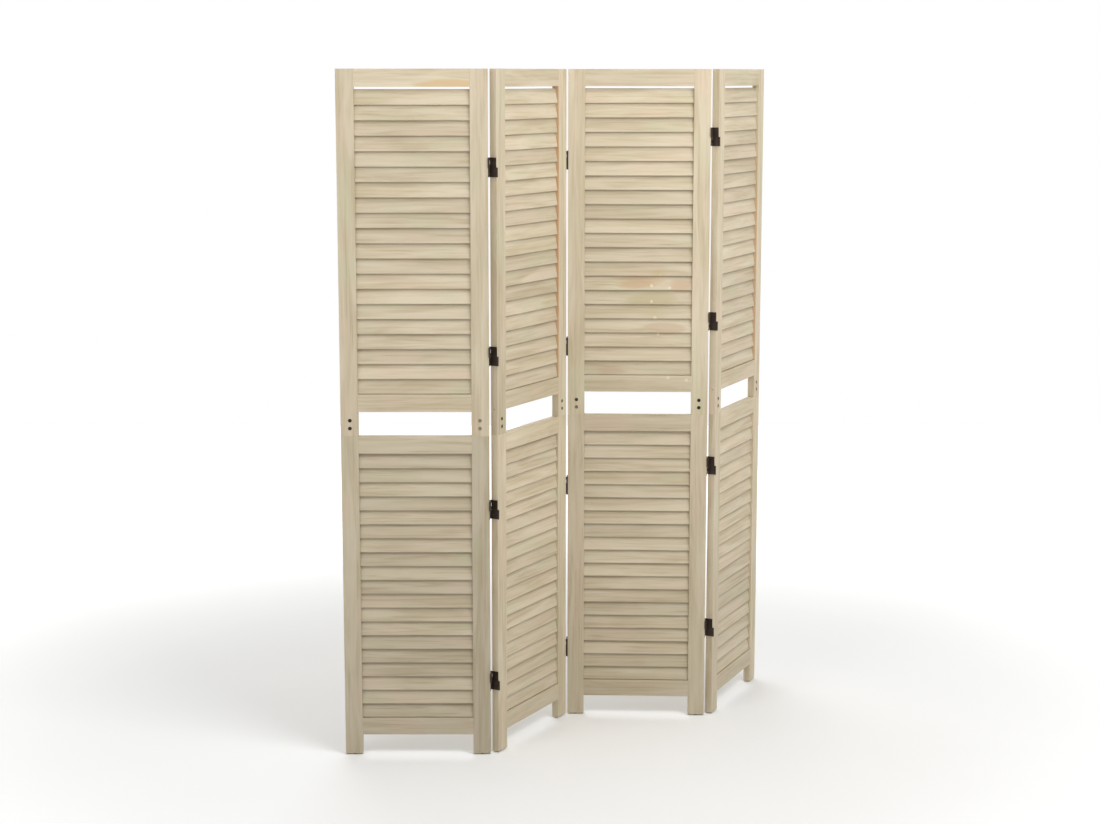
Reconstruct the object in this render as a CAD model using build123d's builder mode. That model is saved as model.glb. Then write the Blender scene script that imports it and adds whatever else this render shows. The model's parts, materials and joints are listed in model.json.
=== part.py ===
from build123d import *
from math import asin, degrees
import os

os.makedirs("parts", exist_ok=True)

# A four-panel louvred folding screen. All lengths are in millimetres and all angles in degrees.

# Overall size
screen_height = 1660.0
panel_width = 355.0
panel_thickness = 18.0
panel_gap = 3.0
stile_width = 42.0
rail_height = 42.0
long_edge_radius = 0.5
end_bevel = 0.3

# Heights, from the floor up: glide, leg, lower frame up to the seam, open window, upper frame
glide_height = 3.0
leg_length = 48.0
seam_height = 792.0
window_height = 59.0

# How the panels stand: each value is how far a joint is folded from flat
fold_12 = 62.0
fold_23 = 64.4
fold_34 = 68.6

# Louvre slats. The pitches are nominal: whole slats fill each opening
upper_slat_pitch = 36.0
lower_slat_pitch = 34.4
slat_height = 37.0
slat_thickness = 5.5
slat_corner = 2.2
slat_corner_share = 0.45
slat_air = 0.9
slat_end_gap = 0.3
top_vent = 5.0
housing_depth = 6.0
housing_play = 0.2

# Rail tenons, and the tenons that join the lower stiles to the upper ones
rail_tenon_length = 18.0
rail_tenon_thickness = 8.0
rail_tenon_height = 30.0
stile_tenon_width = 26.0
stile_tenon_thickness = 8.0
stile_tenon_height = 50.0
tenon_play = 0.1
tenon_end_gap = 0.5

# Joining screws, driven from the front through the seam tenons
joining_screw_rises = (19.0, 38.0)
joining_screw_inset = 22.0
joining_head_radius = 4.3
joining_head_height = 1.8
joining_shank_radius = 2.0
joining_screw_reach = 16.0
joining_bore_radius = 4.6
joining_bore_depth = 2.2
joining_slot_length = 5.0
joining_slot_width = 0.9
joining_slot_depth = 0.9
screw_play = 0.05

# Nail-on glides under the legs
glide_radius = 5.0
glide_rim_radius = 1.5
glide_nail_radius = 1.0
glide_nail_length = 12.0

# Old nail holes in the outer edges of two panels
nail_hole_height = 855.0
nail_hole_radius = 1.5
nail_hole_depth = 6.0
nail_hole_panels = (2, 4)

# Two-way hinges: the heights are those of the hinge centres. Those of the outer joints are staggered, so
# that they pass each other when the first and last panels fold over the middle ones
hinge_heights_12 = (183.0, 610.0, 983.0, 1431.0)
hinge_heights_23 = (179.0, 607.0, 966.0, 1435.0)
hinge_heights_34 = (232.0, 659.0, 1030.0, 1493.0)
hinge_half_height = 23.0
hinge_sheet = 0.9
hinge_segments = 3
hinge_play = 0.15
knuckle_play = 0.2
pin_offset = 2.0
pin_radius = 1.2
pin_play = 0.05
barrel_radius = 2.15
leaf_margin = 0.6
leaf_overlap = 1.0
hinge_screw_offset = 3.5
hinge_screw_rises = (17.5, 8.0, -8.0, -17.5)
hinge_screw_head_radius = 2.6
hinge_screw_shank_radius = 1.25
hinge_screw_reach = 16.0
countersink_angle = 90.0
screw_cross_turn = 45.0

# Values worked out from the sizes above
half_thickness = panel_thickness / 2
inner_width = panel_width - 2 * stile_width
pin_reach = half_thickness + pin_offset
bottom_rail_base = glide_height + leg_length
lower_opening = (bottom_rail_base + rail_height, seam_height - rail_height)
upper_rail_base = seam_height + window_height
upper_opening = (upper_rail_base + rail_height, screen_height - rail_height)
leaf_half_width = half_thickness - leaf_margin
slat_round = min(slat_corner, slat_corner_share * slat_thickness)
leaf_face = panel_gap / 2 - hinge_sheet
link_sheet = 2 * (leaf_face - hinge_play)
segment_height = (hinge_half_height - hinge_play - (hinge_segments - 1) * knuckle_play) / hinge_segments
joints = (
    {"fold": fold_12, "back": True, "heights": hinge_heights_12},
    {"fold": fold_23, "back": False, "heights": hinge_heights_23},
    {"fold": fold_34, "back": True, "heights": hinge_heights_34},
)


def placed(base, place, x_dir, z_dir):
    """A plane at a place given in the base plane's own coordinates."""
    return Plane(origin=base.from_local_coords(place), x_dir=x_dir, z_dir=z_dir)


def level(base, height):
    """A level plane at a height, seen from above."""
    return placed(base, (0, 0, height), base.x_dir, base.z_dir)


def across(base, reach):
    """An upright plane across a panel: its x runs to the back, its y up and its normal sideways."""
    return placed(base, (reach, 0, 0), base.y_dir, base.x_dir)


def front_view(base, depth):
    """An upright plane along a panel: its x runs sideways, its y up and its normal to the front."""
    return placed(base, (0, depth, 0), base.x_dir, -base.y_dir)


def stand_panels(start):
    """The panels' own planes (left edge, mid thickness, floor) and the joint axes between them."""
    planes = [start]
    axes = []
    for joint in joints:
        side = 1 if joint["back"] else -1
        last = planes[-1]
        axis = placed(last, (panel_width + panel_gap / 2, side * pin_reach, 0), last.x_dir, last.z_dir)
        turned = axis.rotated((0, 0, side * joint["fold"]))
        axes.append(axis.origin)
        planes.append(placed(turned, (panel_gap / 2, -side * pin_reach, 0), turned.x_dir, turned.z_dir))
    return planes, axes


def footprint_centre(planes):
    """The middle of the floor space that the panels and their hinge barrels take."""
    spots = []
    for number, plane in enumerate(planes):
        for depth in (-half_thickness, half_thickness):
            spots.append((plane.from_local_coords((0, depth, 0)), 0))
            spots.append((plane.from_local_coords((panel_width, depth, 0)), 0))
        for depth in (-pin_reach, pin_reach):
            if number > 0:
                spots.append((plane.from_local_coords((-panel_gap / 2, depth, 0)), barrel_radius))
            if number < len(planes) - 1:
                reach = panel_width + panel_gap / 2
                spots.append((plane.from_local_coords((reach, depth, 0)), barrel_radius))
    low_x = min(spot.X - radius for spot, radius in spots)
    high_x = max(spot.X + radius for spot, radius in spots)
    low_y = min(spot.Y - radius for spot, radius in spots)
    high_y = max(spot.Y + radius for spot, radius in spots)
    return (low_x + high_x) / 2, (low_y + high_y) / 2


def slat_places(opening, nominal_pitch, vent):
    """The slat centres that fill an opening, and the tilt that keeps them clear of each other."""
    span = opening[1] - opening[0] - vent - slat_height - slat_end_gap
    steps = round(span / nominal_pitch)
    pitch = span / steps
    first = opening[0] + slat_end_gap + slat_height / 2
    tilt = degrees(asin((slat_thickness + slat_air) / pitch))
    return [first + pitch * step for step in range(steps + 1)], tilt


def slat_profiles(plane, louvre, play):
    """The slat sections of one opening, their top edges leaning to the back."""
    centres, tilt = louvre
    with BuildSketch(plane) as profiles:
        with Locations(*[(0, centre) for centre in centres]):
            RectangleRounded(
                slat_thickness + 2 * play, slat_height + 2 * play, slat_round + play, rotation=-tilt
            )
    return profiles.sketch


def tenon_profiles(plane, rail_bases, play):
    """The sections of the rail tenons, or of their mortises."""
    with BuildSketch(plane) as profiles:
        with Locations(*[(0, base + rail_height / 2) for base in rail_bases]):
            Rectangle(rail_tenon_thickness + 2 * play, rail_tenon_height + 2 * play)
    return profiles.sketch


upper_louvre = slat_places(upper_opening, upper_slat_pitch, top_vent)
lower_louvre = slat_places(lower_opening, lower_slat_pitch, slat_end_gap)
upper_rail_bases = (upper_rail_base, screen_height - rail_height)
lower_rail_bases = (bottom_rail_base, seam_height - rail_height)

centre_x, centre_y = footprint_centre(stand_panels(Plane.XY)[0])
panels, joint_axes = stand_panels(Plane((-centre_x, -centre_y, 0)))


def stile_middle(left):
    """How far the middle of a stile is from the panel's left edge."""
    return stile_width / 2 if left else panel_width - stile_width / 2


def joining_screw_planes(panel, left, depth):
    """Planes facing the front at the joining screws of one stile."""
    inset = joining_screw_inset if left else panel_width - joining_screw_inset
    sight = front_view(panel, depth)
    return [
        placed(sight, (inset, seam_height + rise, 0), sight.x_dir, sight.z_dir)
        for rise in joining_screw_rises
    ]


def hinge_edges(number):
    """The hinged edges of a panel: a plane at mid gap whose x runs outwards, and the joint there."""
    panel = panels[number]
    edges = []
    if number > 0:
        edges.append((placed(panel, (-panel_gap / 2, 0, 0), -panel.x_dir, panel.z_dir), number - 1))
    if number < len(joints):
        reach = panel_width + panel_gap / 2
        edges.append((placed(panel, (reach, 0, 0), panel.x_dir, panel.z_dir), number))
    return edges


def hinge_screw_planes(edge, heights):
    """Planes on the outer face of the leaves, looking into the gap, one at each screw."""
    face = across(edge, -leaf_face)
    spots = []
    for height in heights:
        for turn, rise in enumerate(hinge_screw_rises):
            offset = -hinge_screw_offset if turn % 2 else hinge_screw_offset
            spots.append(placed(face, (offset, height + rise, 0), face.x_dir, face.z_dir))
    return spots


def edge_screw_spots(number, left):
    """The hinge screws that go into one edge of a panel."""
    spots = []
    for edge, joint in hinge_edges(number):
        if left == (joint < number):
            spots += hinge_screw_planes(edge, joints[joint]["heights"])
    return spots


def make_stile(number, left, upper):
    """One stile of an upper or a lower frame, with its mortises, grooves and screw holes."""
    panel = panels[number]
    base, top = (seam_height, screen_height) if upper else (glide_height, seam_height)
    middle = stile_middle(left)
    outer = 0 if left else panel_width
    inner = stile_width if left else panel_width - stile_width
    louvre = upper_louvre if upper else lower_louvre
    rail_bases = upper_rail_bases if upper else lower_rail_bases
    mortise_depth = rail_tenon_length + tenon_end_gap
    groove_start = inner - housing_depth if left else inner
    mortise_start = inner - mortise_depth if left else inner
    grooves = slat_profiles(across(panel, groove_start), louvre, housing_play)
    mortises = tenon_profiles(across(panel, mortise_start), rail_bases, tenon_play)
    screw_spots = [
        spot
        for spot in edge_screw_spots(number, left)
        if base < panel.to_local_coords(spot.origin).Z < top
    ]
    with BuildPart() as stile:
        with BuildSketch(level(panel, base)):
            with Locations((middle, 0)):
                RectangleRounded(stile_width, panel_thickness, long_edge_radius)
        extrude(amount=top - base)
        chamfer(stile.faces().filter_by(Axis.Z).edges(), end_bevel)
        extrude(grooves, amount=housing_depth, mode=Mode.SUBTRACT)
        extrude(mortises, amount=mortise_depth, mode=Mode.SUBTRACT)
        if upper:
            with BuildSketch(level(panel, base)):
                with Locations((middle, 0)):
                    Rectangle(stile_tenon_width + 2 * tenon_play, stile_tenon_thickness + 2 * tenon_play)
            extrude(amount=stile_tenon_height + tenon_end_gap, mode=Mode.SUBTRACT)
            with Locations(*joining_screw_planes(panel, left, -half_thickness)):
                CounterBoreHole(
                    joining_shank_radius + screw_play,
                    joining_bore_radius,
                    joining_bore_depth,
                    joining_screw_reach + screw_play,
                )
        else:
            with BuildSketch(level(panel, top)):
                with Locations((middle, 0)):
                    Rectangle(stile_tenon_width, stile_tenon_thickness)
            extrude(amount=stile_tenon_height)
            with Locations(*joining_screw_planes(panel, left, -stile_tenon_thickness / 2)):
                Hole(joining_shank_radius + screw_play, stile_tenon_thickness)
            with Locations((panel.from_local_coords((middle, 0, base)))):
                Cylinder(
                    glide_nail_radius + screw_play,
                    glide_nail_length + screw_play,
                    align=(Align.CENTER, Align.CENTER, Align.MIN),
                    mode=Mode.SUBTRACT,
                )
        if screw_spots:
            with Locations(*screw_spots):
                CounterSinkHole(
                    hinge_screw_shank_radius + screw_play,
                    hinge_screw_head_radius + screw_play,
                    hinge_screw_reach + screw_play,
                    countersink_angle,
                )
        if upper and left and number + 1 in nail_hole_panels:
            edge = across(panel, outer)
            with Locations(placed(edge, (0, nail_hole_height, 0), edge.x_dir, -edge.z_dir)):
                Hole(nail_hole_radius, nail_hole_depth)
    return stile


def make_rails(panel, rail_bases):
    """The two rails of a frame, each with a stub tenon at both ends."""
    start = stile_width - rail_tenon_length
    tenons = tenon_profiles(across(panel, start), rail_bases, 0)
    with BuildPart() as rails:
        with BuildSketch(across(panel, stile_width)):
            with Locations(*[(0, base + rail_height / 2) for base in rail_bases]):
                RectangleRounded(panel_thickness, rail_height, long_edge_radius)
        extrude(amount=inner_width)
        extrude(tenons, amount=inner_width + 2 * rail_tenon_length)
    return rails


def make_slats(panel, louvre):
    """The slats of one opening, housed at both ends in the stiles."""
    start = stile_width - housing_depth + housing_play
    profiles = slat_profiles(across(panel, start), louvre, 0)
    with BuildPart() as slats:
        extrude(profiles, amount=inner_width + 2 * (housing_depth - housing_play))
    return slats


def make_joining_screws(panel):
    """Four flat-headed screws sunk in their counterbores, two in each upper stile."""
    seat = joining_bore_depth - half_thickness
    with BuildPart() as screws:
        for left in (True, False):
            spots = joining_screw_planes(panel, left, seat)
            with Locations(*spots):
                Cylinder(
                    joining_head_radius,
                    joining_head_height,
                    align=(Align.CENTER, Align.CENTER, Align.MIN),
                )
                Cylinder(
                    joining_shank_radius,
                    joining_screw_reach - joining_bore_depth,
                    align=(Align.CENTER, Align.CENTER, Align.MAX),
                )
            with Locations(*[spot.offset(joining_head_height) for spot in spots]):
                Box(
                    joining_slot_length,
                    joining_slot_width,
                    2 * joining_slot_depth,
                    rotation=(0, 0, screw_cross_turn),
                    mode=Mode.SUBTRACT,
                )
                Box(
                    joining_slot_width,
                    joining_slot_length,
                    2 * joining_slot_depth,
                    rotation=(0, 0, screw_cross_turn),
                    mode=Mode.SUBTRACT,
                )
    return screws


def make_foot_glides(panel):
    """The two domed glides under a panel's legs, with their nails."""
    spots = [panel.from_local_coords((stile_middle(left), 0, 0)) for left in (True, False)]
    with BuildPart() as glides:
        with Locations(*spots):
            Cylinder(glide_radius, glide_height, align=(Align.CENTER, Align.CENTER, Align.MIN))
        fillet(glides.edges().group_by(Axis.Z)[0], glide_rim_radius)
        with Locations(*[spot + Vector(0, 0, glide_height) for spot in spots]):
            Cylinder(glide_nail_radius, glide_nail_length, align=(Align.CENTER, Align.CENTER, Align.MIN))
    return glides


def knuckle_starts(half_base):
    """Where the two knuckles of a half hinge begin, above and below the eye of its link."""
    return (half_base, half_base + 2 * (segment_height + knuckle_play))


def half_bases(height):
    """The lowest points of the upper and the lower half of a hinge."""
    return height + hinge_play, height + hinge_play - hinge_half_height


def make_leaves(edge, heights):
    """The leaves on one panel edge: knuckles on one face above, on the other face below."""
    plate_middle = -leaf_face - hinge_sheet / 2
    with BuildPart() as leaves:
        for height in heights:
            upper_base, lower_base = half_bases(height)
            with BuildSketch(level(edge, lower_base)):
                with Locations((plate_middle, 0)):
                    Rectangle(hinge_sheet, 2 * leaf_half_width)
            extrude(amount=height + hinge_half_height - lower_base)
            for side, half_base in ((-1, upper_base), (1, lower_base)):
                tab_middle = side * (pin_reach + leaf_half_width - leaf_overlap) / 2
                for start in knuckle_starts(half_base):
                    with BuildSketch(level(edge, start)):
                        with Locations((0, side * pin_reach)):
                            Circle(barrel_radius)
                        with Locations((plate_middle, tab_middle)):
                            Rectangle(hinge_sheet, pin_reach - leaf_half_width + leaf_overlap)
                        with Locations((0, side * pin_reach)):
                            Circle(pin_radius + pin_play, mode=Mode.SUBTRACT)
                    extrude(amount=segment_height)
        with Locations(*hinge_screw_planes(edge, heights)):
            CounterSinkHole(
                hinge_screw_shank_radius + screw_play,
                hinge_screw_head_radius + screw_play,
                hinge_screw_reach,
                countersink_angle,
            )
    return leaves


def make_links(edge, heights, upper):
    """The links of one panel edge, each tying a front pin to a back pin through the gap."""
    with BuildPart() as links:
        for height in heights:
            half_base = half_bases(height)[0 if upper else 1]
            eye_base = half_base + segment_height + knuckle_play
            with BuildSketch(level(edge, half_base)):
                Rectangle(link_sheet, 2 * leaf_half_width)
            extrude(amount=hinge_half_height - hinge_play)
            with BuildSketch(level(edge, eye_base)):
                Rectangle(link_sheet, 2 * pin_reach)
                with Locations((0, -pin_reach), (0, pin_reach)):
                    Circle(barrel_radius)
                with Locations((0, -pin_reach), (0, pin_reach)):
                    Circle(pin_radius + pin_play, mode=Mode.SUBTRACT)
            extrude(amount=segment_height)
    return links


def make_hinge_pins(number):
    """The hinge pins held by the leaves of one panel."""
    with BuildPart() as pins:
        for edge, joint in hinge_edges(number):
            for height in joints[joint]["heights"]:
                upper_base, lower_base = half_bases(height)
                for side, half_base in ((-1, upper_base), (1, lower_base)):
                    with BuildSketch(level(edge, half_base)):
                        with Locations((0, side * pin_reach)):
                            Circle(pin_radius)
                    extrude(amount=hinge_half_height - hinge_play)
    return pins


def make_hinge_screws(number):
    """The countersunk screws that hold the leaves to one panel."""
    cone_height = hinge_screw_head_radius - hinge_screw_shank_radius
    with BuildPart() as screws:
        for edge, joint in hinge_edges(number):
            with Locations(*hinge_screw_planes(edge, joints[joint]["heights"])):
                Cone(
                    hinge_screw_shank_radius,
                    hinge_screw_head_radius,
                    cone_height,
                    align=(Align.CENTER, Align.CENTER, Align.MAX),
                )
                Cylinder(
                    hinge_screw_shank_radius,
                    hinge_screw_reach,
                    align=(Align.CENTER, Align.CENTER, Align.MAX),
                )
    return screws


def keep(piece, name):
    """Label a finished piece and write it out."""
    piece.part.label = name
    export_step(piece.part, f"parts/{name}.step")


for number, panel in enumerate(panels):
    name = f"panel_{number + 1}"
    keep(make_stile(number, left=True, upper=True), f"{name}_upper_left_stile")
    keep(make_stile(number, left=False, upper=True), f"{name}_upper_right_stile")
    keep(make_stile(number, left=True, upper=False), f"{name}_lower_left_stile")
    keep(make_stile(number, left=False, upper=False), f"{name}_lower_right_stile")
    keep(make_rails(panel, upper_rail_bases), f"{name}_upper_rails")
    keep(make_rails(panel, lower_rail_bases), f"{name}_lower_rails")
    keep(make_slats(panel, upper_louvre), f"{name}_upper_slats")
    keep(make_slats(panel, lower_louvre), f"{name}_lower_slats")
    keep(make_joining_screws(panel), f"{name}_joining_screws")
    keep(make_foot_glides(panel), f"{name}_foot_glides")
    for edge, joint in hinge_edges(number):
        left_edge = joint < number
        side_name = "left" if left_edge else "right"
        heights = joints[joint]["heights"]
        keep(make_leaves(edge, heights), f"{name}_{side_name}_hinge_leaves")
        upper_link = joints[joint]["back"] != left_edge
        keep(make_links(edge, heights, upper_link), f"{name}_{side_name}_hinge_links")
    keep(make_hinge_pins(number), f"{name}_hinge_pins")
    keep(make_hinge_screws(number), f"{name}_hinge_screws")
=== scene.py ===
import json
import math

import bpy
from mathutils import Matrix, Vector


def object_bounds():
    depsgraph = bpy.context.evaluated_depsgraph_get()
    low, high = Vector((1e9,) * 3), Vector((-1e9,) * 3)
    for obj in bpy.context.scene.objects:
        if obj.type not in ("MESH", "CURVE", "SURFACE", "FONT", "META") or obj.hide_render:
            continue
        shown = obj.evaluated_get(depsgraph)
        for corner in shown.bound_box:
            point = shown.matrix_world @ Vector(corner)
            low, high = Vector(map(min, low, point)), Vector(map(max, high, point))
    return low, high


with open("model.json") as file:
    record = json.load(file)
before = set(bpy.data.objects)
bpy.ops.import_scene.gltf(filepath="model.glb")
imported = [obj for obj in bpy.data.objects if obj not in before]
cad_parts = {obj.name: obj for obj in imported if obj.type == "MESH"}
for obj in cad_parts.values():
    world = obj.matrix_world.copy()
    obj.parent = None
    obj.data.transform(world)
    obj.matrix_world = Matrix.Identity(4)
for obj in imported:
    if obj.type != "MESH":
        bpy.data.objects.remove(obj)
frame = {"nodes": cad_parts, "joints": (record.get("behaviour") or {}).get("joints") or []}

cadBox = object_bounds()
print("frame loaded:", len(frame["nodes"]), "nodes")

# The panels' own sizes, in metres, as the CAD has them
panelSize = {"width": 0.355, "thickness": 0.018, "gap": 0.003, "pinOffset": 0.002}


# Where each panel stands: its left edge in the middle of its thickness, and its turn.
# Each joint's rest fold is how far its range reaches back to flat.
def findPanels():
    pinReach = panelSize["thickness"] / 2 + panelSize["pinOffset"]
    places = [(cadBox[0].x, frame["joints"][0]["pos_m"][1] - pinReach, 0.0)]
    for joint in frame["joints"]:
        side = 1 if joint["axis"][2] > 0 else -1
        turn = places[-1][2] - side * math.radians(joint["range_deg"][0])
        offset = Matrix.Rotation(turn, 3, "Z") @ Vector((panelSize["gap"] / 2, -side * pinReach, 0))
        places.append((joint["pos_m"][0] + offset.x, joint["pos_m"][1] + offset.y, turn))
    return places


panelPlaces = findPanels()
for number, (x, y, turn) in enumerate(panelPlaces, 1):
    print("panel", number, "at", round(x, 4), round(y, 4), "turned", round(math.degrees(turn), 1))


# Tones are written as sRGB values
def opaque(tone):
    shares = [c / 255 for c in tone]
    return (*(c / 12.92 if c <= 0.04045 else ((c + 0.055) / 1.055) ** 2.4 for c in shares), 1.0)


# Node helpers: a value may be a number, a tuple or another node's output
def put(tree, socket, value):
    if isinstance(value, bpy.types.NodeSocket):
        tree.links.new(value, socket)
    else:
        socket.default_value = value


def addMath(tree, operation, first, second=0.0):
    node = tree.nodes.new("ShaderNodeMath")
    node.operation = operation
    put(tree, node.inputs[0], first)
    put(tree, node.inputs[1], second)
    return node.outputs[0]


def addSplit(tree, vector):
    node = tree.nodes.new("ShaderNodeSeparateXYZ")
    put(tree, node.inputs[0], vector)
    return node.outputs


def addJoin(tree, x, y, z):
    node = tree.nodes.new("ShaderNodeCombineXYZ")
    for socket, value in zip(node.inputs, (x, y, z)):
        put(tree, socket, value)
    return node.outputs[0]


def addScaled(tree, vector, size):
    node = tree.nodes.new("ShaderNodeVectorMath")
    node.operation = "MULTIPLY"
    put(tree, node.inputs[0], vector)
    put(tree, node.inputs[1], size)
    return node.outputs[0]


# A pattern is a dictionary: its repeats per metre along each axis, and the texture's own settings
def addNoise(tree, vector, pattern):
    node = tree.nodes.new("ShaderNodeTexNoise")
    put(tree, node.inputs["Vector"], addScaled(tree, vector, pattern["size"]))
    node.inputs["Scale"].default_value = 1.0
    node.inputs["Detail"].default_value = pattern["detail"]
    node.inputs["Roughness"].default_value = pattern["roughness"]
    node.inputs["Distortion"].default_value = pattern.get("distortion", 0.0)
    return node.outputs["Fac"]


def addBands(tree, vector, pattern):
    node = tree.nodes.new("ShaderNodeTexWave")
    node.bands_direction = "Y"
    put(tree, node.inputs["Vector"], addScaled(tree, vector, pattern["size"]))
    node.inputs["Scale"].default_value = 1.0
    node.inputs["Detail"].default_value = pattern["detail"]
    node.inputs["Detail Scale"].default_value = pattern["detailScale"]
    node.inputs["Distortion"].default_value = pattern["distortion"]
    return node.outputs["Fac"]


def addChance(tree, value):
    node = tree.nodes.new("ShaderNodeTexWhiteNoise")
    node.noise_dimensions = "1D"
    put(tree, node.inputs["W"], value)
    return node.outputs["Value"]


def addMix(tree, factor, first, second, blend="MIX"):
    node = tree.nodes.new("ShaderNodeMix")
    node.data_type = "RGBA"
    node.blend_type = blend
    put(tree, node.inputs[0], factor)
    put(tree, node.inputs[6], first)
    put(tree, node.inputs[7], second)
    return node.outputs[2]


def addShade(tree, colour, shade):
    return addMix(tree, 1.0, colour, addJoin(tree, shade, shade, shade), "MULTIPLY")


def addRange(tree, value, reach, result=(0.0, 1.0)):
    node = tree.nodes.new("ShaderNodeMapRange")
    node.interpolation_type = "SMOOTHSTEP"
    put(tree, node.inputs[0], value)
    for socket, bound in zip(node.inputs[1:5], (*reach, *result)):
        socket.default_value = bound
    return node.outputs[0]


def addBump(tree, shader, height, strength, depth):
    node = tree.nodes.new("ShaderNodeBump")
    node.inputs["Strength"].default_value = strength
    node.inputs["Distance"].default_value = depth
    put(tree, node.inputs["Height"], height)
    put(tree, shader.inputs["Normal"], node.outputs[0])


def newMaterial(name):
    material = bpy.data.materials.new(name)
    material.use_nodes = True
    tree = material.node_tree
    return material, tree, tree.nodes["Principled BSDF"]


def objectCoordinates(tree):
    return tree.nodes.new("ShaderNodeTexCoord").outputs["Object"]


# The panel's own coordinates: x from its left edge, y to its back, z up
def panelCoordinates(tree, number):
    x, y, turn = panelPlaces[number - 1]
    back = Matrix.Rotation(-turn, 3, "Z") @ Vector((x, y, 0))
    mapping = tree.nodes.new("ShaderNodeMapping")
    mapping.inputs["Rotation"].default_value = (0, 0, -turn)
    mapping.inputs["Location"].default_value = (-back.x, -back.y, 0)
    put(tree, mapping.inputs["Vector"], objectCoordinates(tree))
    return mapping.outputs[0]


# Pale unfinished wood. Each reach says which values of a pattern show, from none to full.
woodLook = {
    "light": (206, 194, 170),
    "dark": (188, 173, 145),
    "green": (193, 187, 157),
    "pink": (206, 186, 163),
    "line": (158, 140, 109),
    "figure": {"size": (3.5, 34.0, 34.0), "detail": 3.0, "roughness": 0.55, "distortion": 0.6},
    "rings": {"size": (6.0, 230.0, 90.0), "detail": 2.0, "roughness": 0.6, "distortion": 0.4},
    "fibre": {"size": (30.0, 1300.0, 1300.0), "detail": 2.0, "roughness": 0.6},
    "mottle": {"size": (7.0, 13.0, 11.0), "detail": 1.0, "roughness": 0.5},
    "bands": {"size": (2.4, 26.0, 26.0), "detail": 2.0, "detailScale": 1.4, "distortion": 8.0},
    "darkReach": (0.28, 0.74),
    "greenReach": (0.52, 0.74),
    "pinkReach": (0.48, 0.28),
    "mottleStrength": (0.0, 0.5),
    "ringReach": (0.54, 0.80),
    "ringStrength": (0.0, 0.40),
    "bandReach": (0.55, 1.0),
    "bandFigure": (0.40, 0.66),
    "bandStrength": (0.02, 0.26),
    "fibreReach": (0.55, 0.80),
    "fibreStrength": (0.0, 0.16),
    "roughReach": (0.3, 0.8),
    "roughness": (0.62, 0.74),
    "specular": 0.3,
    "ringBump": 1.5,
    "bumpStrength": 0.5,
    "bumpDepth": 0.00012,
    # Painted shade: the darker band where one slat covers the next, in metres
    "paintedShadeDepth": 0.0018,
    "paintedShadeStrength": 0.19,
    # A stain's edge is made ragged by the figure
    "stainReach": (1.0, 0.1),
    "stainFigure": (0.3, 0.7),
    "stainRagged": (-0.6, 0.6),
    # How boards differ: the grain's shift from one to the next, in metres, and how much darker one may be
    "shiftAlong": 1.37,
    "shiftAcross": 0.71,
    "seedStep": 31.0,
    "toneOffset": 0.5,
    "toneSpread": 0.10,
}

# Slats, in metres: the lowest one's height, their pitch, and how far apart their middle planes are
slatRows = {
    "upper_slats": {"first": 0.9118, "pitch": 0.035932, "apart": 0.0064},
    "lower_slats": {"first": 0.1118, "pitch": 0.034411, "apart": 0.0064},
}

# The height that tells the two rails of a frame apart, in metres
railMiddle = {"upper_rails": 1.25, "lower_rails": 0.42}

# How light each panel's wood is, partly its own tone and partly painted shade that darkens some lower
# halves: its upper half, its lower half, and its stiles beside its slats
panelToneAndShade = {1: (0.90, 0.84, 0.93), 2: (0.93, 0.99, 1.0), 3: (0.93, 0.90, 1.03), 4: (0.96, 1.0, 1.0)}

# Stains on single boards: u from the panel's left edge and z from the floor, in metres
stains = [
    {"panel": 1, "part": "upper_rails", "u": 0.262, "z": 1.624, "wide": 0.075, "high": 0.012,
     "tone": (196, 164, 118), "strength": 0.65},
    {"panel": 3, "part": "upper_slats", "u": 0.175, "z": 1.132, "wide": 0.070, "high": 0.018,
     "tone": (180, 150, 112), "strength": 0.6},
    {"panel": 3, "part": "upper_slats", "u": 0.285, "z": 1.122, "wide": 0.034, "high": 0.018,
     "tone": (184, 153, 124), "strength": 0.5},
    {"panel": 3, "part": "upper_slats", "u": 0.228, "z": 1.152, "wide": 0.038, "high": 0.017,
     "tone": (188, 165, 118), "strength": 0.6},
    {"panel": 3, "part": "upper_slats", "u": 0.215, "z": 1.075, "wide": 0.070, "high": 0.036,
     "tone": (178, 165, 124), "strength": 0.5},
    {"panel": 3, "part": "upper_slats", "u": 0.240, "z": 1.010, "wide": 0.055, "high": 0.016,
     "tone": (180, 152, 122), "strength": 0.45},
    {"panel": 3, "part": "upper_slats", "u": 0.100, "z": 0.908, "wide": 0.055, "high": 0.018,
     "tone": (180, 153, 122), "strength": 0.45},
    {"panel": 2, "part": "upper_right_stile", "u": 0.3125, "z": 1.24, "wide": 0.004, "high": 0.45,
     "tone": (196, 156, 118), "strength": 0.9},
    {"panel": 4, "part": "upper_right_stile", "u": 0.3125, "z": 1.20, "wide": 0.004, "high": 0.40,
     "tone": (196, 160, 124), "strength": 0.8},
]

# Small cream drops on one panel: u and z, in metres
drops = {
    "panel": 3,
    "radius": 0.0045,
    "tone": (226, 213, 186),
    "strength": 0.6,
    "spots": {
        "upper_slats": (
            (0.211, 1.121), (0.256, 1.116), (0.211, 1.081), (0.233, 1.148), (0.220, 1.040), (0.228, 0.997),
        ),
        "upper_rails": ((0.254, 0.887), (0.301, 0.882)),
    },
}
for part, spots in drops["spots"].items():
    for u, z in spots:
        stains.append({"panel": drops["panel"], "part": part, "u": u, "z": z, "wide": drops["radius"],
                       "high": drops["radius"], "tone": drops["tone"], "strength": drops["strength"]})


# Which slat or rail a point lies on, as a whole number
def boardNumber(tree, depth, height, part):
    if part in railMiddle:
        return addMath(tree, "GREATER_THAN", height, railMiddle[part])
    row = slatRows[part]
    slope = math.sqrt(row["pitch"] ** 2 - row["apart"] ** 2) / row["apart"]
    upright = addMath(tree, "SUBTRACT", height, addMath(tree, "MULTIPLY", depth, slope))
    steps = addMath(tree, "DIVIDE", addMath(tree, "SUBTRACT", upright, row["first"]), row["pitch"])
    return addMath(tree, "ROUND", steps)


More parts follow.
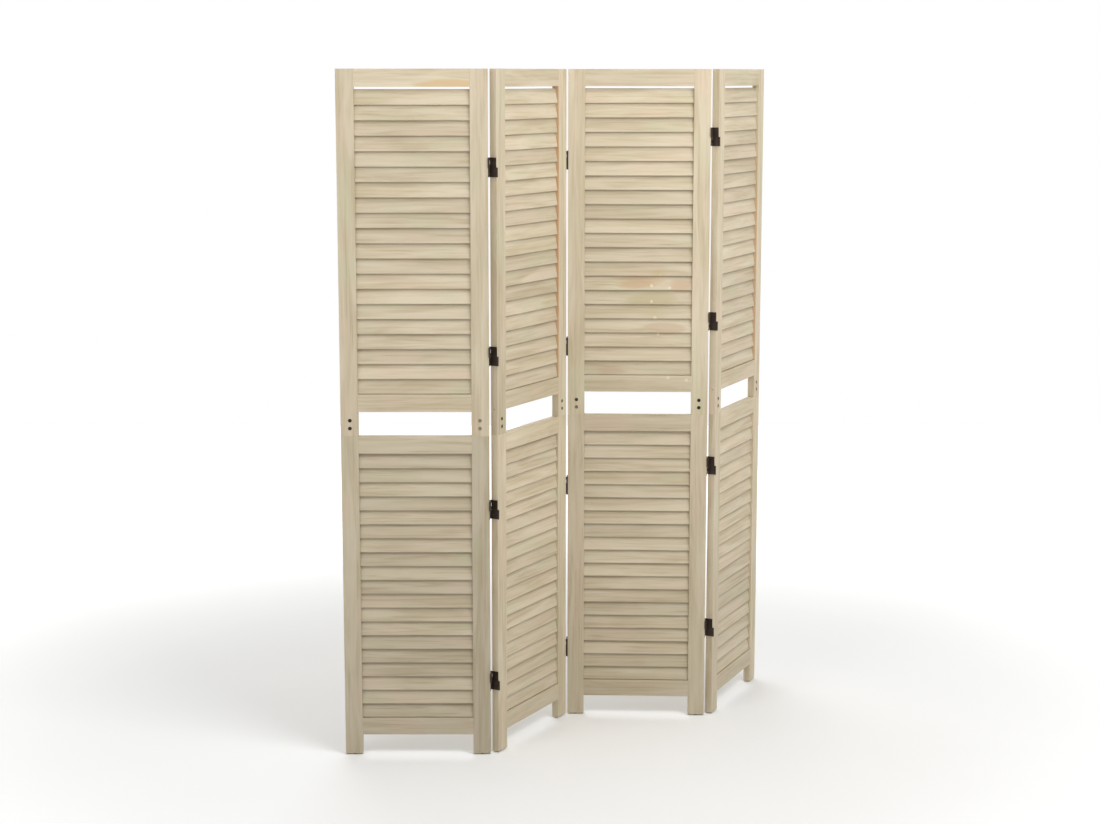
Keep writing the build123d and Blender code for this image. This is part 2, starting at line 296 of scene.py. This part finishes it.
def addStain(tree, colour, stain, u, height, figure):
    look = woodLook
    across = addMath(tree, "DIVIDE", addMath(tree, "SUBTRACT", u, stain["u"]), stain["wide"])
    up = addMath(tree, "DIVIDE", addMath(tree, "SUBTRACT", height, stain["z"]), stain["high"])
    away = addMath(tree, "ADD", addMath(tree, "MULTIPLY", across, across),
                   addMath(tree, "MULTIPLY", up, up))
    ragged = addMath(tree, "ADD", away, addRange(tree, figure, look["stainFigure"], look["stainRagged"]))
    cover = addRange(tree, ragged, look["stainReach"], (0.0, stain["strength"]))
    return addMix(tree, cover, colour, opaque(stain["tone"]))


def woodMaterial(number, part, seed):
    look = woodLook
    material, tree, shader = newMaterial(f"wood_{number}_{part}")
    u, depth, height = addSplit(tree, panelCoordinates(tree, number))
    upright = part.endswith("stile")
    if upright:
        board = float(seed)
        along, across = height, u
    else:
        board = addMath(tree, "ADD", boardNumber(tree, depth, height, part), seed * look["seedStep"])
        along, across = u, height
    along = addMath(tree, "ADD", along, addMath(tree, "MULTIPLY", board, look["shiftAlong"]))
    across = addMath(tree, "ADD", across, addMath(tree, "MULTIPLY", board, look["shiftAcross"]))
    grain = addJoin(tree, along, across, depth)
    figure, rings, fibre, mottle = (
        addNoise(tree, grain, look[pattern]) for pattern in ("figure", "rings", "fibre", "mottle")
    )
    bands = addRange(tree, addBands(tree, grain, look["bands"]), look["bandReach"])
    bands = addMath(tree, "MULTIPLY", bands,
                    addRange(tree, figure, look["bandFigure"], look["bandStrength"]))
    colour = addMix(tree, addRange(tree, figure, look["darkReach"]),
                    opaque(look["light"]), opaque(look["dark"]))
    layers = (
        (addRange(tree, mottle, look["greenReach"], look["mottleStrength"]), "green"),
        (addRange(tree, mottle, look["pinkReach"], look["mottleStrength"]), "pink"),
        (addRange(tree, rings, look["ringReach"], look["ringStrength"]), "line"),
        (bands, "line"),
        (addRange(tree, fibre, look["fibreReach"], look["fibreStrength"]), "line"),
    )
    for cover, tone in layers:
        colour = addMix(tree, cover, colour, opaque(look[tone]))
    for stain in stains:
        if (stain["panel"], stain["part"]) == (number, part):
            colour = addStain(tree, colour, stain, u, height, figure)
    # Painted shade: slats darken near the panel's middle plane, where the next slat covers them
    if part in slatRows:
        middle = addMath(tree, "ABSOLUTE", depth)
        shade = addRange(tree, middle, (look["paintedShadeDepth"], 0.0), (1.0, 1.0 - look["paintedShadeStrength"]))
        colour = addShade(tree, colour, shade)
    # The wood's own tone, with painted shade that makes some panels' lower halves darker
    upper, lower, stile = panelToneAndShade[number]
    level = (upper if part.startswith("upper") else lower) * (stile if upright else 1.0)
    chance = addChance(tree, addMath(tree, "ADD", board, look["toneOffset"]))
    shade = addRange(tree, chance, (0.0, 1.0), ((1.0 - look["toneSpread"]) * level, level))
    colour = addShade(tree, colour, shade)
    put(tree, shader.inputs["Base Color"], colour)
    put(tree, shader.inputs["Roughness"], addRange(tree, rings, look["roughReach"], look["roughness"]))
    shader.inputs["Specular IOR Level"].default_value = look["specular"]
    relief = addMath(tree, "ADD", fibre, addMath(tree, "MULTIPLY", rings, look["ringBump"]))
    addBump(tree, shader, relief, look["bumpStrength"], look["bumpDepth"])
    return material


hingeLook = {
    "tone": (50, 38, 30),
    "worn": (104, 84, 62),
    "cloud": {"size": (90.0, 90.0, 90.0), "detail": 3.0, "roughness": 0.6},
    "speck": {"size": (900.0, 900.0, 900.0), "detail": 2.0, "roughness": 0.7},
    "cloudReach": (0.45, 0.70),
    "speckReach": (0.45, 0.75),
    "roughReach": (0.3, 0.7),
    "roughness": (0.42, 0.62),
    "metallic": 0.35,
    "bumpStrength": 0.25,
    "bumpDepth": 0.0001,
}


def hingeMaterial():
    look = hingeLook
    material, tree, shader = newMaterial("dark_bronze")
    source = objectCoordinates(tree)
    cloud, speck = addNoise(tree, source, look["cloud"]), addNoise(tree, source, look["speck"])
    worn = addMath(tree, "MULTIPLY", addRange(tree, cloud, look["cloudReach"]),
                   addRange(tree, speck, look["speckReach"]))
    put(tree, shader.inputs["Base Color"], addMix(tree, worn, opaque(look["tone"]), opaque(look["worn"])))
    put(tree, shader.inputs["Roughness"], addRange(tree, cloud, look["roughReach"], look["roughness"]))
    shader.inputs["Metallic"].default_value = look["metallic"]
    addBump(tree, shader, speck, look["bumpStrength"], look["bumpDepth"])
    return material


screwLook = {
    "dark": (40, 33, 22),
    "pale": (158, 146, 122),
    "speck": {"size": (700.0, 700.0, 700.0), "detail": 2.0, "roughness": 0.6},
    "speckReach": (0.3, 0.7),
    "speckShade": (-0.06, 0.06),
    "roughness": (0.5, 0.65),
    "metallic": 0.5,
    "pairMiddle": 0.8205,  # the height between a stile's two screws, in metres
}

# How pale each screw head is: lower left, upper left, lower right, upper right
screwTones = {
    1: (0.05, 0.0, 0.75, 0.7),
    2: (0.1, 0.05, 0.3, 0.2),
    3: (0.55, 0.1, 0.0, 0.0),
    4: (0.1, 0.2, 0.1, 0.1),
}


def screwMaterial(number):
    look = screwLook
    material, tree, shader = newMaterial(f"screw_head_{number}")
    spot = panelCoordinates(tree, number)
    u, _, height = addSplit(tree, spot)
    onRight = addMath(tree, "GREATER_THAN", u, panelSize["width"] / 2)
    onLeft = addMath(tree, "SUBTRACT", 1.0, onRight)
    onTop = addMath(tree, "GREATER_THAN", height, look["pairMiddle"])
    lowLeft, highLeft, lowRight, highRight = screwTones[number]
    left = addRange(tree, onTop, (0.0, 1.0), (lowLeft, highLeft))
    right = addRange(tree, onTop, (0.0, 1.0), (lowRight, highRight))
    pale = addMath(tree, "ADD", addMath(tree, "MULTIPLY", right, onRight),
                   addMath(tree, "MULTIPLY", left, onLeft))
    speck = addNoise(tree, spot, look["speck"])
    pale = addMath(tree, "ADD", pale, addRange(tree, speck, look["speckReach"], look["speckShade"]))
    put(tree, shader.inputs["Base Color"], addMix(tree, pale, opaque(look["dark"]), opaque(look["pale"])))
    put(tree, shader.inputs["Roughness"], addRange(tree, speck, look["speckReach"], look["roughness"]))
    shader.inputs["Metallic"].default_value = look["metallic"]
    return material


glideLook = {
    "tone": (108, 106, 88),
    "scuffed": (146, 143, 124),
    "scratch": {"size": (500.0, 500.0, 900.0), "detail": 2.0, "roughness": 0.6},
    "scuffReach": (0.5, 0.75),
    "roughReach": (0.3, 0.7),
    "roughness": (0.45, 0.6),
}


def glideMaterial():
    look = glideLook
    material, tree, shader = newMaterial("foot_glide")
    scratch = addNoise(tree, objectCoordinates(tree), look["scratch"])
    worn = addRange(tree, scratch, look["scuffReach"])
    put(tree, shader.inputs["Base Color"], addMix(tree, worn, opaque(look["tone"]), opaque(look["scuffed"])))
    put(tree, shader.inputs["Roughness"], addRange(tree, scratch, look["roughReach"], look["roughness"]))
    return material


# A node's name is "panel", the panel's number and the part, joined by underscores
def dressNodes():
    hinge, glide = hingeMaterial(), glideMaterial()
    seed = 0
    for name in sorted(frame["nodes"]):
        number, part = name.split("_", 2)[1:]
        number = int(number)
        if "hinge" in part:
            material = hinge
        elif part == "joining_screws":
            material = screwMaterial(number)
        elif part == "foot_glides":
            material = glide
        else:
            seed += 1
            material = woodMaterial(number, part, seed)
        piece = frame["nodes"][name]
        for holder in piece.material_slots:
            holder.material = material
        if not piece.material_slots:
            piece.data.materials.append(material)
    print("materials on", len(frame["nodes"]), "nodes")


# The floor fades to white away from the screen by a painted glow, in metres
floorLook = {
    "size": 9.0,
    "steps": 12,
    "tone": (246, 246, 245),
    "cloudShade": 0.985,
    "cloud": {"size": (3.0, 3.0, 3.0), "detail": 2.0, "roughness": 0.5},
    "roughness": 0.7,
    "glowReach": (0.9, 3.2),
    "glowStrength": (0.0, 0.75),
}


def makeFloor():
    look = floorLook
    bpy.ops.object.select_all(action="DESELECT")
    bpy.ops.mesh.primitive_grid_add(
        x_subdivisions=look["steps"], y_subdivisions=look["steps"], size=look["size"], location=(0, 0, 0)
    )
    floor = bpy.context.object
    floor.name = "studio_floor"
    material, tree, shader = newMaterial("studio_floor")
    source = objectCoordinates(tree)
    tone = opaque(look["tone"])
    shaded = (*(c * look["cloudShade"] for c in tone[:3]), 1.0)
    put(tree, shader.inputs["Base Color"], addMix(tree, addNoise(tree, source, look["cloud"]), tone, shaded))
    shader.inputs["Roughness"].default_value = look["roughness"]
    away = tree.nodes.new("ShaderNodeVectorMath")
    away.operation = "LENGTH"
    put(tree, away.inputs[0], source)
    # Painted light: the floor glows more the farther it is from the middle, though it is no lamp
    shader.inputs["Emission Color"].default_value = (1.0, 1.0, 1.0, 1.0)
    put(tree, shader.inputs["Emission Strength"],
        addRange(tree, away.outputs["Value"], look["glowReach"], look["glowStrength"]))
    floor.data.materials.append(material)
    print("floor:", look["size"], "m wide")


lights = [
    {"name": "key_softbox", "place": (1.5, -1.8, 2.7), "aim": (0.0, 0.0, 1.45),
     "size": (1.8, 1.0), "power": 47.0},
    {"name": "left_softbox", "place": (-1.7, -2.2, 2.6), "aim": (-0.2, 0.0, 1.4),
     "size": (1.4, 1.0), "power": 15.0},
    {"name": "ceiling_softbox", "place": (0.0, 0.0, 4.6), "aim": (0.0, 0.0, 0.0),
     "size": (6.0, 6.0), "power": 95.0},
    {"name": "back_softbox", "place": (-0.6, 2.6, 2.6), "aim": (0.0, 0.0, 1.2),
     "size": (2.4, 1.2), "power": 30.0},
]


def makeLights():
    for look in lights:
        light = bpy.data.lights.new(look["name"], "AREA")
        light.shape = "RECTANGLE"
        light.size, light.size_y = look["size"]
        light.energy = look["power"]
        holder = bpy.data.objects.new(look["name"], light)
        bpy.context.collection.objects.link(holder)
        holder.location = look["place"]
        aim = Vector(look["aim"]) - Vector(look["place"])
        holder.rotation_euler = aim.to_track_quat("-Z", "Y").to_euler()
        holder.visible_camera = False
    print("lights:", len(lights))


# The studio is white up to a little above the horizon, and dimmer overhead.
# The reach is the upward share of a direction, from 0 at the horizon to 1 overhead.
studioLook = {"reach": (0.10, 0.35), "strength": (1.0, 0.3)}


def makeStudio():
    look = studioLook
    world = bpy.data.worlds.new("studio")
    bpy.context.scene.world = world
    world.use_nodes = True
    tree = world.node_tree
    backdrop = tree.nodes["Background"]
    backdrop.inputs["Color"].default_value = (1.0, 1.0, 1.0, 1.0)
    upward = addSplit(tree, tree.nodes.new("ShaderNodeTexCoord").outputs["Generated"])[2]
    put(tree, backdrop.inputs["Strength"], addRange(tree, upward, look["reach"], look["strength"]))
    bpy.context.scene.view_settings.view_transform = "Standard"
    print("studio: strength", look["strength"])


# The lens is in millimetres, the place in metres and the pitch in degrees above the horizon
cameraLook = {"lens": 67.76, "sensor": 36.0, "place": (-0.032, -5.2055, 1.6456), "pitch": -9.249}


def makeCamera():
    look = cameraLook
    lens = bpy.data.cameras.new("photo_camera")
    lens.lens = look["lens"]
    lens.sensor_width = look["sensor"]
    lens.sensor_fit = "HORIZONTAL"
    camera = bpy.data.objects.new("photo_camera", lens)
    bpy.context.collection.objects.link(camera)
    camera.location = look["place"]
    camera.rotation_euler = (math.radians(90.0 + look["pitch"]), 0.0, 0.0)
    bpy.context.scene.camera = camera
    print("camera at", look["place"])


makeFloor()
makeLights()
makeStudio()
makeCamera()
dressNodes()
